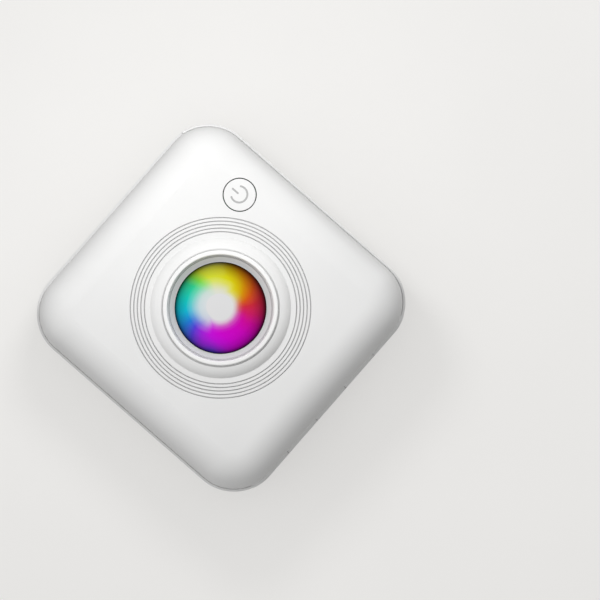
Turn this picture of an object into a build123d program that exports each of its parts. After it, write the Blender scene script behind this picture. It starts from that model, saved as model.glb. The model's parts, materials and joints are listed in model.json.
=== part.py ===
from build123d import *
from math import acos, atan2, cos, degrees, hypot, pi, radians, sin, sqrt, tan
import os

os.makedirs("parts", exist_ok=True)

# A pocket thermal printer: a rounded base, and a cover that opens on a barrel hinge along its rear edge.
# X is the paper's width, +Y points to the paper exit, +Z is up, and Z is 0 under the rubber feet.

# Room past a face for a clean cut, and a size beyond the whole printer
overshoot = 2.0
beyond = 50.0

# Housing
base_width = 81.0
base_length = 84.0
corner_radius = 13.7
foot_proud = 0.8
foot_recess = 0.6
foot_radius = 4.0
foot_bevel = 0.3
foot_x, foot_y = 25.5, 27.5
base_wall = 2.0
floor_thickness = 1.8
bottom_round = 8.0
rim_z = 26.0
lip_height = 0.6
lip_width = 0.65
lip_bevel = 0.25
base_corner_fill = 4.0
lid_corner_fill = 6.0
lid_inset = 0.9
lid_gap = 0.2
lid_wall = 1.8
lid_round = 9.9
face_z = 41.2
inner_clearance = 0.15
front_wall_y = (35.0, 45.0)
trim_clearance = 0.05

# Rings on the face
groove_radii = (21.6, 22.6, 23.6, 24.6, 25.6)
groove_width = 0.34
groove_depth = 0.45
boss_outer = 20.1
boss_turn = 19.7
boss_rise = 1.35
boss_shoulder = 0.12
boss_slope = (1.0, -0.2)
bezel_outer = 16.4
bezel_hole = 16.5
bezel_inner = 15.0
bezel_notch = 0.25
bezel_bevel = 0.3
bezel_top = face_z + 1.75
bezel_seat = face_z - 0.8
well_radius = 13.2
well_top = face_z + 1.0
well_z = face_z - 0.3
dome_radius = 12.95
dome_top = 43.0
dome_flange = 14.2
dome_clearance = 0.1
dome_skirt_wall = 1.2
lens_hole = 14.3

# Power button
button_x, button_y = 27.74, 17.0
button_radius = 4.55
button_hole = 4.85
button_travel = 0.5
button_face = 1.2
button_bore = 3.9
button_foot = 0.7
tab_half, tab_inner, tab_outer, tab_clearance = 1.5, 4.2, 5.6, 0.1

# Hinge
hinge_y = -(base_length / 2 - 1.8)
hinge_z = rim_z
knuckle_radius = 1.8
channel_radius = 2.1
pin_radius = 0.8
pin_clearance = 0.05
pin_half = 27.0
knuckle_gap = 0.12
knuckle_ends = (6.1, 18.4, 32.5)
lid_relief_half = 32.8

# Paper bay
roll_y, roll_z = 7.0, 19.6
bay_radius = 15.7
bay_half = 29.2
bay_wall = 1.1
bay_rib_x = (-22.0, -7.5, 7.5, 22.0)
bay_rib_width, bay_rib_rise = 1.0, 0.4
bay_bevel = 0.5
deck_top = 23.9
deck_thickness = 1.2
sensor_x, sensor_half, sensor_clearance = (10.0, 14.0), 1.5, 0.1

# Print mechanism
platen_y, platen_z = 28.5, 29.5
platen_radius = 4.0
platen_half = 28.5
platen_shaft_radius = 1.5
bush_radius = 3.0
bush_inner, bush_outer = 29.2, 32.2
plate_inner = 31.0
plate_thickness = 0.8
throat_radius = bush_radius + 0.3
throat_rise = 4.0
head_gap = 0.15
ceramic_thickness = 1.0
heat_sink_thickness = 2.45
head_pivot_y, head_pivot_z = 34.2, 22.4
head_pivot_radius = 1.0
head_lug_radius = 1.9
web_y, web_z = (25.2, 33.6), 18.0
motor_y, motor_z = 30.5, 10.8
motor_radius = 7.0
motor_end = -22.0
motor_bevel = 0.6
motor_shaft_radius = 0.8
motor_shaft_x = (-33.9, -23.0)
stud_radius = 0.75
stud_end = -36.5
shoulder_step, shoulder_gap = 0.2, 0.1
clip_x, clip_radius = (-36.2, -35.9), 1.5
shaft_end = 33.4
shaft_clip_x, shaft_clip_radius = (32.4, 32.8), 2.5
tear_half = 29.6
slot_half = 30.4
slot_floor = 25.0
slot_roof = 27.0

# Gears
module = 0.5
pressure_angle = radians(20)
backlash = 0.05
gear_addendum = 0.8 * module
gear_dedendum = 1.1 * module
platen_teeth, idler_teeth = 16, 18
small_teeth, large_teeth, pinion_teeth = 12, 24, 12
outer_layer = (-35.7, -33.9)
inner_layer = (-33.6, -32.1)

# Boards
top_board_z = 36.9
top_board_thickness = 1.0
top_board_x, top_board_y = (-19.0, 32.0), (-12.0, 23.0)
main_board_z = 15.0
main_board_thickness = 1.6
main_board_x, main_board_y = (-29.0, 29.0), (-38.6, -12.4)
socket_hole = (9.5, 3.8)
usb_outer, usb_inner = (8.94, 3.2), (8.34, 2.56)
usb_depth, usb_wall = 7.3, 0.8
tongue_half_width, tongue_half_height, tongue_setback = 3.3, 0.35, 1.2
battery_x, battery_y = (-24.0, 24.0), (-34.0, -10.0)
battery_height, battery_round = 10.0, 2.5

# Screws: each head's radius and height, then the depth, arm and width of the cross as shares of the head
pilot_radius = 0.7
tray_screw_head, board_screw_head, frame_screw_head = (1.9, 1.0), (1.6, 0.9), (1.5, 0.9)
liner_screw_head, top_screw_head = (1.6, 0.9), (1.4, 0.8)
cross_depth, cross_arm, cross_half_width = 0.6, 0.55, 0.13
tray_screw_length, tray_pilot_depth, tray_screw_hole = 8.0, 8.0, 1.1
board_screw_length, board_pilot_depth, board_screw_hole = 5.0, 6.0, 0.9
liner_screw_length, liner_pilot_depth, liner_screw_hole = 4.0, 4.0, 0.9
top_screw_hole = 0.8

# Sizes that follow from the ones above
inner_end, middle_end, outer_end = knuckle_ends
base_knuckles = (
    (-outer_end, -middle_end - knuckle_gap),
    (-inner_end, inner_end),
    (middle_end + knuckle_gap, outer_end),
)
lid_knuckles = ((-middle_end, -inner_end - knuckle_gap), (inner_end + knuckle_gap, middle_end))
floor_top = foot_proud + floor_thickness
inner_width = base_width - 2 * base_wall
inner_length = base_length - 2 * base_wall
inner_radius = corner_radius - base_wall
lid_width = base_width - 2 * lid_inset
lid_length = base_length - 2 * lid_inset
lid_radius = corner_radius - lid_inset
lid_bottom = rim_z + lid_gap
lid_ceiling = face_z - lid_wall
deck_bottom = deck_top - deck_thickness
flange_bottom = 30.4
flange_top = 31.6
plate_outer = plate_inner + plate_thickness
ceramic_top = platen_z - platen_radius - head_gap
ceramic_bottom = ceramic_top - ceramic_thickness
heat_sink_bottom = ceramic_bottom - heat_sink_thickness
top_board_top = top_board_z + top_board_thickness
main_board_top = main_board_z + main_board_thickness
usb_z = main_board_top + usb_outer[1] / 2
usb_front = base_length / 2 - 0.6
bay_bottom = roll_z - bay_radius


def rounded_block(width, length, radius, low_z, height, mode=Mode.ADD):
    """A block with rounded upright corners, centred on the Z axis."""
    with BuildSketch(Plane.XY.offset(low_z)) as outline:
        RectangleRounded(width, length, radius)
    extrude(outline.sketch, amount=height, mode=mode)


def slab(x_range, y_range, z_range, mode=Mode.ADD):
    """A plain block between two values on each axis."""
    low, high = zip(x_range, y_range, z_range)
    with Locations(tuple((a + b) / 2 for a, b in zip(low, high))):
        Box(*[b - a for a, b in zip(low, high)], mode=mode)


def rod(x_range, y, z, radius, mode=Mode.ADD):
    """A round bar along X."""
    low, high = x_range
    with Locations(((low + high) / 2, y, z)):
        Cylinder(radius, high - low, rotation=(0, 90, 0), mode=mode)


def post(x, y, z_range, radius, mode=Mode.ADD):
    """A round post along Z."""
    low, high = z_range
    with Locations((x, y, (low + high) / 2)):
        Cylinder(radius, high - low, mode=mode)


def bay_bore():
    """The paper roll's room, cut round low ribs that keep the roll off the wall."""
    edges = [x for rib in bay_rib_x for x in (rib - bay_rib_width / 2, rib + bay_rib_width / 2)]
    edges = [-bay_half] + edges + [bay_half]
    for low, high in zip(edges[::2], edges[1::2]):
        rod((low, high), roll_y, roll_z, bay_radius, mode=Mode.SUBTRACT)
    rod((-bay_half, bay_half), roll_y, roll_z, bay_radius - bay_rib_rise, mode=Mode.SUBTRACT)


def bay_mouth(face_level, inner_level):
    """A bevel round the mouth of the paper roll's room, from a flat face into the wall."""
    rims = []
    for level, bevel in ((face_level, bay_bevel), (inner_level, 0)):
        mouth_half = sqrt(bay_radius**2 - (level - roll_z) ** 2)
        with BuildSketch(Plane.XY.offset(level)) as rim:
            with Locations((0, roll_y)):
                Rectangle(2 * (bay_half + bevel), 2 * (mouth_half + bevel))
        rims.append(rim.sketch)
    loft(rims, mode=Mode.SUBTRACT)


def screw(x, y, seat_z, head_size, shank_length, up=True):
    """A cross-head screw whose head stands on seat_z, above it or hanging below it."""
    head_radius, head_height = head_size
    way = 1 if up else -1
    head = sorted((seat_z, seat_z + way * head_height))
    shank = sorted((seat_z, seat_z - way * shank_length))
    slot_bottom = seat_z + way * head_height * (1 - cross_depth)
    recess = sorted((slot_bottom, seat_z + way * head_height))
    post(x, y, head, head_radius)
    post(x, y, shank, pilot_radius)
    arm, half = head_radius * cross_arm, head_radius * cross_half_width
    slab((x - arm, x + arm), (y - half, y + half), recess, mode=Mode.SUBTRACT)
    slab((x - half, x + half), (y - arm, y + arm), recess, mode=Mode.SUBTRACT)


def finish_part(builder, name):
    """Label a finished sub-part and write it."""
    builder.part.label = name
    export_step(builder.part, f"parts/{name}.step")


# Gear geometry

def pitch_radius(teeth):
    return module * teeth / 2


def half_tooth_angle(teeth, radius):
    """Half the angle that a tooth fills at a radius, with involute flanks and its share of backlash."""
    base_radius = pitch_radius(teeth) * cos(pressure_angle)
    roll_angle = acos(min(1.0, base_radius / radius))
    involute = tan(roll_angle) - roll_angle
    involute_at_pitch = tan(pressure_angle) - pressure_angle
    return pi / (2 * teeth) + involute_at_pitch - involute - backlash / 2 / pitch_radius(teeth)


def polar(radius, angle):
    return (radius * cos(angle), radius * sin(angle))


def gear_sketch(teeth, phase, bore_radius):
    """A spur gear's outline. One tooth is centred on the angle called phase."""
    base_radius = pitch_radius(teeth) * cos(pressure_angle)
    tip_radius = pitch_radius(teeth) + gear_addendum
    root_radius = pitch_radius(teeth) - gear_dedendum
    middle_radius = (base_radius + tip_radius) / 2
    radii = (base_radius, middle_radius, tip_radius)
    at_base, at_middle, at_tip = (half_tooth_angle(teeth, radius) for radius in radii)
    pitch_angle = 2 * pi / teeth
    with BuildSketch() as gear:
        with BuildLine():
            for index in range(teeth):
                centre = phase + index * pitch_angle
                Line(polar(root_radius, centre - at_base), polar(base_radius, centre - at_base))
                ThreePointArc(
                    polar(base_radius, centre - at_base),
                    polar(middle_radius, centre - at_middle),
                    polar(tip_radius, centre - at_tip),
                )
                ThreePointArc(
                    polar(tip_radius, centre - at_tip),
                    polar(tip_radius, centre),
                    polar(tip_radius, centre + at_tip),
                )
                ThreePointArc(
                    polar(tip_radius, centre + at_tip),
                    polar(middle_radius, centre + at_middle),
                    polar(base_radius, centre + at_base),
                )
                Line(polar(base_radius, centre + at_base), polar(root_radius, centre + at_base))
                ThreePointArc(
                    polar(root_radius, centre + at_base),
                    polar(root_radius, centre + pitch_angle / 2),
                    polar(root_radius, centre + pitch_angle - at_base),
                )
        make_face()
        Circle(bore_radius, mode=Mode.SUBTRACT)
    return gear.sketch


def meshed_phase(teeth, phase, centre, other_teeth, other_centre):
    """The phase that puts another gear's tooth into this gear's gap on the line between their centres."""
    direction = atan2(other_centre[1] - centre[1], other_centre[0] - centre[0])
    shift = (phase - direction) * pitch_radius(teeth)
    half_pitch = pi * module / 2
    return direction + pi - (shift + half_pitch) / pitch_radius(other_teeth)


def gear_disc(sketch, centre, x_range):
    """Stand a gear's outline between two X values, with its axis through centre in Y and Z."""
    low, high = x_range
    with BuildSketch(Plane.YZ.offset(low)) as outline:
        with Locations(centre):
            add(sketch)
    extrude(outline.sketch, amount=high - low)


# The idler hangs straight below the platen, and the reduction gear closes the triangle to the motor.
platen_centre = (platen_y, platen_z)
idler_centre = (platen_y, platen_z - pitch_radius(platen_teeth) - pitch_radius(idler_teeth))
motor_centre = (motor_y, motor_z)
idler_reach = pitch_radius(idler_teeth) + pitch_radius(small_teeth)
motor_reach = pitch_radius(large_teeth) + pitch_radius(pinion_teeth)
span_y, span_z = motor_y - idler_centre[0], motor_z - idler_centre[1]
span = hypot(span_y, span_z)
along = (idler_reach**2 - motor_reach**2 + span**2) / (2 * span)
aside = sqrt(idler_reach**2 - along**2)
reduction_centre = (
    idler_centre[0] + (along * span_y + aside * span_z) / span,
    idler_centre[1] + (along * span_z - aside * span_y) / span,
)
platen_phase = pi / 2
idler_phase = meshed_phase(platen_teeth, platen_phase, platen_centre, idler_teeth, idler_centre)
small_phase = meshed_phase(idler_teeth, idler_phase, idler_centre, small_teeth, reduction_centre)
large_phase = small_phase
pinion_phase = meshed_phase(large_teeth, large_phase, reduction_centre, pinion_teeth, motor_centre)


# Base shell
tray_bosses = ((-33.0, -32.5), (33.0, -32.5), (-34.2, 8.0), (34.2, 8.0))
tray_boss_radius = 2.3
board_posts = ((-26.7, -35.2), (26.7, -15.0))
board_post_radius = 1.9
frame_posts = ((-33.8, 28.0), (33.8, 28.0))
frame_foot_z = 4.4

with BuildPart() as base_cavity:
    rounded_block(inner_width, inner_length, inner_radius, floor_top, rim_z - floor_top + overshoot)
    chamfer(base_cavity.faces().sort_by(Axis.Z)[0].edges(), length=base_corner_fill)
    for x, y in tray_bosses:
        post(x, y, (0, deck_bottom), tray_boss_radius, mode=Mode.SUBTRACT)
        post(x, y, (deck_bottom - tray_pilot_depth, deck_bottom), pilot_radius)
    for x, y in board_posts:
        post(x, y, (0, main_board_z), board_post_radius, mode=Mode.SUBTRACT)
        post(x, y, (main_board_z - board_pilot_depth, main_board_z), pilot_radius)
    for x, y in frame_posts:
        post(x, y, (0, frame_foot_z), tray_boss_radius, mode=Mode.SUBTRACT)

# Knuckles that end in the rounded corners are trimmed to the outline
with BuildPart() as hinge_barrels:
    for knuckle in base_knuckles:
        rod(knuckle, hinge_y, hinge_z, knuckle_radius)
    trim_length = base_length + 2 * trim_clearance
    rounded_block(base_width, trim_length, corner_radius, 0, face_z, mode=Mode.INTERSECT)

with BuildPart() as base_shell:
    rounded_block(base_width, base_length, corner_radius, foot_proud, rim_z + lip_height - foot_proud)
    fillet(base_shell.faces().sort_by(Axis.Z)[0].edges(), radius=bottom_round)
    chamfer(base_shell.faces().sort_by(Axis.Z)[-1].edges(), length=lip_bevel)
    add(base_cavity.part, mode=Mode.SUBTRACT)
    # The lip stands round the cover's foot
    rounded_block(
        base_width - 2 * lip_width,
        base_length - 2 * lip_width,
        corner_radius - lip_width,
        rim_z,
        lip_height + overshoot,
        mode=Mode.SUBTRACT,
    )
    # Paper exit
    slab((-slot_half, slot_half), front_wall_y, (slot_floor, rim_z + overshoot), mode=Mode.SUBTRACT)
    # Hinge knuckles, with room between them for the cover's
    for before, after in zip(base_knuckles, base_knuckles[1:]):
        rod((before[1], after[0]), hinge_y, hinge_z, channel_radius, mode=Mode.SUBTRACT)
    add(hinge_barrels.part)
    rod((-pin_half, pin_half), hinge_y, hinge_z, pin_radius, mode=Mode.SUBTRACT)
    # Charging socket
    with BuildSketch(Plane.XZ.offset(inner_length / 2 - overshoot)) as socket_cut:
        with Locations((0, usb_z)):
            SlotOverall(*socket_hole)
    extrude(socket_cut.sketch, amount=base_wall + 2 * overshoot, mode=Mode.SUBTRACT)
    # Seats of the feet
    for x in (-foot_x, foot_x):
        for y in (-foot_y, foot_y):
            post(x, y, (0, foot_proud + foot_recess), foot_radius, mode=Mode.SUBTRACT)
finish_part(base_shell, "base_shell")

with BuildPart() as rubber_feet:
    for x in (-foot_x, foot_x):
        for y in (-foot_y, foot_y):
            post(x, y, (0, foot_proud + foot_recess), foot_radius)
    chamfer(rubber_feet.faces().filter_by(Axis.Z).group_by(Axis.Z)[0].edges(), length=foot_bevel)
finish_part(rubber_feet, "rubber_feet")

with BuildPart() as hinge_pin:
    rod((-pin_half, pin_half), hinge_y, hinge_z, pin_radius)
finish_part(hinge_pin, "hinge_pin")


# Inner tray: a deck round the half round paper bay, open over the print mechanism
strip_back, strip_front = 36.6, 39.5
opening_back, plate_slot_back = 24.4, 22.4
plate_slot_inner, plate_slot_outer = plate_inner - 0.6, plate_outer + 0.8
gear_slot_end, gear_slot_front = -36.3, 33.7
deck_cut = (deck_bottom - overshoot, deck_top + overshoot)

with BuildPart() as inner_tray:
    rounded_block(
        inner_width - 2 * inner_clearance,
        inner_length - 2 * inner_clearance,
        inner_radius - inner_clearance,
        deck_bottom,
        deck_thickness,
    )
    rod((-bay_half - bay_wall, bay_half + bay_wall), roll_y, roll_z, bay_radius + bay_wall)
    slab((-beyond, beyond), (-beyond, beyond), (deck_top, beyond), mode=Mode.SUBTRACT)
    bay_bore()
    bay_mouth(deck_top, deck_top - bay_bevel)
    # Mechanism opening
    slab((-plate_inner, plate_inner), (opening_back, strip_back), deck_cut, mode=Mode.SUBTRACT)
    for side in (-1, 1):
        width = sorted((side * plate_slot_inner, side * plate_slot_outer))
        slab(width, (plate_slot_back, strip_back), deck_cut, mode=Mode.SUBTRACT)
    slab((gear_slot_end, -plate_outer), (plate_slot_back, gear_slot_front), deck_cut, mode=Mode.SUBTRACT)
    # Front strip under the tear bar
    slab((-tear_half, tear_half), (strip_back, strip_front), (deck_bottom, slot_floor))
    for x, y in tray_bosses:
        post(x, y, (deck_bottom, deck_top), tray_screw_hole, mode=Mode.SUBTRACT)
    # Window of the paper sensor
    window_x = (sensor_x[0] - sensor_clearance, sensor_x[1] + sensor_clearance)
    window_half = sensor_half + sensor_clearance
    window_y = (roll_y - window_half, roll_y + window_half)
    slab(window_x, window_y, (floor_top, bay_bottom + overshoot), mode=Mode.SUBTRACT)
finish_part(inner_tray, "inner_tray")

with BuildPart() as tray_screws:
    for x, y in tray_bosses:
        screw(x, y, deck_top, tray_screw_head, tray_screw_length)
finish_part(tray_screws, "tray_screws")

with BuildPart() as paper_sensor:
    slab(sensor_x, (roll_y - sensor_half, roll_y + sensor_half), (bay_bottom - bay_wall, bay_bottom))
finish_part(paper_sensor, "paper_sensor")


# Power and electronics
with BuildPart() as battery_pack:
    slab(battery_x, battery_y, (floor_top, floor_top + battery_height))
    fillet(battery_pack.edges().filter_by(Axis.X), radius=battery_round)
finish_part(battery_pack, "battery_pack")

with BuildPart() as main_board:
    slab(main_board_x, main_board_y, (main_board_z, main_board_top))
    for x, y in board_posts:
        post(x, y, (main_board_z, main_board_top), board_screw_hole, mode=Mode.SUBTRACT)
finish_part(main_board, "main_board")

with BuildPart() as board_screws:
    for x, y in board_posts:
        screw(x, y, main_board_top, board_screw_head, board_screw_length)
finish_part(board_screws, "board_screws")

# Each part's place and height: processor, motor driver, head and battery connectors, choke and capacitors
board_layout = (
    ((-18.0, -8.0), (-26.0, -16.0), 1.2),
    ((2.0, 8.0), (-27.0, -21.0), 1.0),
    ((12.0, 23.0), (-19.0, -14.5), 4.0),
    ((-24.0, -20.0), (-36.0, -30.0), 4.5),
    ((11.0, 15.0), (-28.0, -24.0), 2.0),
    ((17.0, 18.6), (-27.6, -24.4), 1.4),
    ((20.0, 21.6), (-27.6, -24.4), 1.4),
    ((-5.0, -3.4), (-22.6, -19.4), 0.9),
)

with BuildPart() as board_parts:
    for x_range, y_range, height in board_layout:
        slab(x_range, y_range, (main_board_top, main_board_top + height))
finish_part(board_parts, "board_parts")

with BuildPart() as usb_socket:
    with BuildSketch(Plane.XZ.offset(usb_front - usb_depth)) as usb_body:
        with Locations((0, usb_z)):
            SlotOverall(*usb_outer)
    extrude(usb_body.sketch, amount=usb_depth)
    with BuildSketch(Plane.XZ.offset(usb_front - usb_depth + usb_wall)) as usb_mouth:
        with Locations((0, usb_z)):
            SlotOverall(*usb_inner)
    extrude(usb_mouth.sketch, amount=usb_depth, mode=Mode.SUBTRACT)
finish_part(usb_socket, "usb_socket")

with BuildPart() as usb_tongue:
    tongue_y = (-usb_front + tongue_setback, -usb_front + usb_depth - usb_wall)
    tongue_height = (usb_z - tongue_half_height, usb_z + tongue_half_height)
    slab((-tongue_half_width, tongue_half_width), tongue_y, tongue_height)
finish_part(usb_tongue, "usb_tongue")


# Print frame: two side plates with open throats for the platen's bushes, joined by a web over the motor
plate_points = (
    (22.8, 9.0),
    (25.0, frame_foot_z),
    (31.5, frame_foot_z),
    (36.3, 9.5),
    (36.3, 25.2),
    (34.4, 27.0),
    (34.4, 29.8),
    (22.8, 29.8),
)
motor_bore = 3.0
frame_foot_x, frame_foot_y = 35.6, (25.0, 31.0)

with BuildPart() as print_frame:
    for side in (-1, 1):
        start = plate_inner if side > 0 else -plate_outer
        with BuildSketch(Plane.YZ.offset(start)) as side_plate:
            with BuildLine():
                Polyline(*plate_points, close=True)
            make_face()
            with Locations(platen_centre):
                Circle(throat_radius, mode=Mode.SUBTRACT)
            with Locations((platen_y, platen_z + throat_rise / 2)):
                Rectangle(2 * throat_radius, throat_rise, mode=Mode.SUBTRACT)
            with Locations((head_pivot_y, head_pivot_z)):
                Circle(head_pivot_radius, mode=Mode.SUBTRACT)
            if side < 0:
                with Locations(motor_centre):
                    Circle(motor_bore, mode=Mode.SUBTRACT)
                with Locations(idler_centre, reduction_centre):
                    Circle(stud_radius, mode=Mode.SUBTRACT)
        extrude(side_plate.sketch, amount=plate_thickness)
        foot = sorted((side * plate_inner, side * frame_foot_x))
        slab(foot, frame_foot_y, (frame_foot_z, frame_foot_z + plate_thickness))
    slab((-plate_outer, plate_outer), web_y, (web_z, web_z + plate_thickness))
    for x, y in frame_posts:
        post(x, y, (0, frame_foot_z + overshoot), pilot_radius, mode=Mode.SUBTRACT)
finish_part(print_frame, "print_frame")

with BuildPart() as frame_screws:
    for x, y in frame_posts:
        screw(x, y, frame_foot_z + plate_thickness, frame_screw_head, plate_thickness)
finish_part(frame_screws, "frame_screws")

with BuildPart() as head_pivot_rod:
    rod_half = plate_outer + 0.2
    rod((-rod_half, rod_half), head_pivot_y, head_pivot_z, head_pivot_radius)
finish_part(head_pivot_rod, "head_pivot_rod")

# Print head, tilting on its rod at the front
head_half = 29.4
head_back, head_front = 24.9, 33.2
ceramic_y = (25.2, 32.2)
lug_inner = 22.0

with BuildPart() as head_heat_sink:
    slab((-head_half, head_half), (head_back, head_front), (heat_sink_bottom, ceramic_bottom))
    for side in (-1, 1):
        lug = sorted((side * lug_inner, side * head_half))
        rod(lug, head_pivot_y, head_pivot_z, head_lug_radius)
        rod(lug, head_pivot_y, head_pivot_z, head_pivot_radius + pin_clearance, mode=Mode.SUBTRACT)
finish_part(head_heat_sink, "head_heat_sink")

with BuildPart() as head_ceramic:
    slab((-platen_half, platen_half), ceramic_y, (ceramic_bottom, ceramic_top))
finish_part(head_ceramic, "head_ceramic")

# Leaf spring: a strip on the web with two arms that press the head up
leaf_thickness, leaf_bend = 0.3, 0.6
leaf_half, leaf_gap_half, leaf_root_y = 20.0, 13.0, 30.5
leaf_low = web_z + plate_thickness + leaf_thickness / 2
leaf_high = heat_sink_bottom - inner_clearance - leaf_thickness / 2
leaf_points = ((33.0, leaf_low), (28.0, leaf_low), (26.2, leaf_high), (25.2, leaf_high))

with BuildPart() as head_spring:
    with BuildSketch(Plane.YZ.offset(-leaf_half)) as leaf:
        with BuildLine():
            FilletPolyline(*leaf_points, radius=leaf_bend)
        trace(line_width=leaf_thickness)
    extrude(leaf.sketch, amount=2 * leaf_half)
    slab((-leaf_gap_half, leaf_gap_half), (0, leaf_root_y), (web_z, heat_sink_bottom), mode=Mode.SUBTRACT)
finish_part(head_spring, "head_spring")

# Tear bar with its row of teeth
tear_back, tear_front, tear_thickness = 36.8, 40.9, 0.5
tooth_pitch, tooth_depth = 1.2, 0.7
tooth_count = round(2 * tear_half / tooth_pitch)

with BuildPart() as tear_bar:
    with BuildSketch(Plane.XY.offset(slot_floor)) as blade:
        with BuildLine():
            tooth_root = tear_front - tooth_depth
            corners = [(-tear_half, tooth_root), (-tear_half, tear_back), (tear_half, tear_back)]
            for index in range(tooth_count):
                x = tear_half - index * 2 * tear_half / tooth_count
                corners.append((x, tooth_root))
                corners.append((x - tear_half / tooth_count, tear_front))
            Polyline(*corners, close=True)
        make_face()
    extrude(blade.sketch, amount=tear_thickness)
finish_part(tear_bar, "tear_bar")


# Motor and gear train
with BuildPart() as motor_can:
    rod((-plate_inner, motor_end), motor_y, motor_z, motor_radius)
    chamfer(motor_can.faces().sort_by(Axis.X)[-1].edges(), length=motor_bevel)
    shaft_room = (-plate_inner, motor_shaft_x[1] + inner_clearance)
    rod(shaft_room, motor_y, motor_z, motor_shaft_radius + pin_clearance, mode=Mode.SUBTRACT)
finish_part(motor_can, "motor_can")

with BuildPart() as motor_shaft:
    rod(motor_shaft_x, motor_y, motor_z, motor_shaft_radius)
finish_part(motor_shaft, "motor_shaft")

with BuildPart() as pinion_gear:
    gear_disc(gear_sketch(pinion_teeth, pinion_phase, motor_shaft_radius), motor_centre, inner_layer)
finish_part(pinion_gear, "pinion_gear")

with BuildPart() as reduction_gear:
    running_bore = stud_radius + pin_clearance
    gear_disc(gear_sketch(large_teeth, large_phase, running_bore), reduction_centre, inner_layer)
    small_layer = (outer_layer[0], inner_layer[0])
    gear_disc(gear_sketch(small_teeth, small_phase, running_bore), reduction_centre, small_layer)
finish_part(reduction_gear, "reduction_gear")

with BuildPart() as idler_gear:
    gear_disc(gear_sketch(idler_teeth, idler_phase, running_bore), idler_centre, outer_layer)
finish_part(idler_gear, "idler_gear")

with BuildPart() as gear_studs:
    for centre in (idler_centre, reduction_centre):
        rod((stud_end, -plate_inner), *centre, stud_radius)
    # Shoulder that holds the idler out in the platen gear's plane
    rod((outer_layer[1] + shoulder_gap, -plate_outer), *idler_centre, stud_radius + shoulder_step)
finish_part(gear_studs, "gear_studs")

with BuildPart() as gear_clips:
    for centre in (idler_centre, reduction_centre):
        rod(clip_x, *centre, clip_radius)
        rod(clip_x, *centre, stud_radius, mode=Mode.SUBTRACT)
finish_part(gear_clips, "gear_clips")


# Platen roller, carried by the cover
with BuildPart() as platen_roller:
    rod((-platen_half, platen_half), *platen_centre, platen_radius)
    rod((-platen_half, platen_half), *platen_centre, platen_shaft_radius, mode=Mode.SUBTRACT)
finish_part(platen_roller, "platen_roller")

with BuildPart() as platen_shaft:
    rod((outer_layer[0], shaft_end), *platen_centre, platen_shaft_radius)
finish_part(platen_shaft, "platen_shaft")

with BuildPart() as platen_gear:
    gear_disc(gear_sketch(platen_teeth, platen_phase, platen_shaft_radius), platen_centre, outer_layer)
finish_part(platen_gear, "platen_gear")

with BuildPart() as shaft_clip:
    rod(shaft_clip_x, *platen_centre, shaft_clip_radius)
    rod(shaft_clip_x, *platen_centre, platen_shaft_radius, mode=Mode.SUBTRACT)
finish_part(shaft_clip, "shaft_clip")

with BuildPart() as platen_bushes:
    for side in (-1, 1):
        length = sorted((side * bush_inner, side * bush_outer))
        rod(length, *platen_centre, bush_radius)
        rod(length, *platen_centre, platen_shaft_radius + pin_clearance, mode=Mode.SUBTRACT)
finish_part(platen_bushes, "platen_bushes")


# Cover shell
liner_bosses = ((-31.5, -31.5), (31.5, -31.5), (-34.4, 19.5), (34.4, 19.5))
liner_boss_radius = 1.8
board_bosses = ((-16.5, 14.0), (-16.5, -9.5), (30.0, -9.0))
board_boss_radius = 1.7


def cover_cavity(clearance):
    """The space inside the cover, drawn in by a clearance."""
    inset = lid_wall + clearance
    rounded_block(
        lid_width - 2 * inset,
        lid_length - 2 * inset,
        lid_radius - inset,
        lid_bottom - overshoot,
        lid_ceiling - clearance - lid_bottom + overshoot,
    )


with BuildPart() as lid_cavity:
    cover_cavity(0)
    chamfer(lid_cavity.faces().sort_by(Axis.Z)[-1].edges(), length=lid_corner_fill)
    for x, y in liner_bosses:
        post(x, y, (flange_top, face_z), liner_boss_radius, mode=Mode.SUBTRACT)
        post(x, y, (flange_top, flange_top + liner_pilot_depth), pilot_radius)
    for x, y in board_bosses:
        post(x, y, (top_board_top, face_z), board_boss_radius, mode=Mode.SUBTRACT)

with BuildPart() as liner_space:
    cover_cavity(inner_clearance)
    chamfer(liner_space.faces().sort_by(Axis.Z)[-1].edges(), length=lid_corner_fill)

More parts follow.
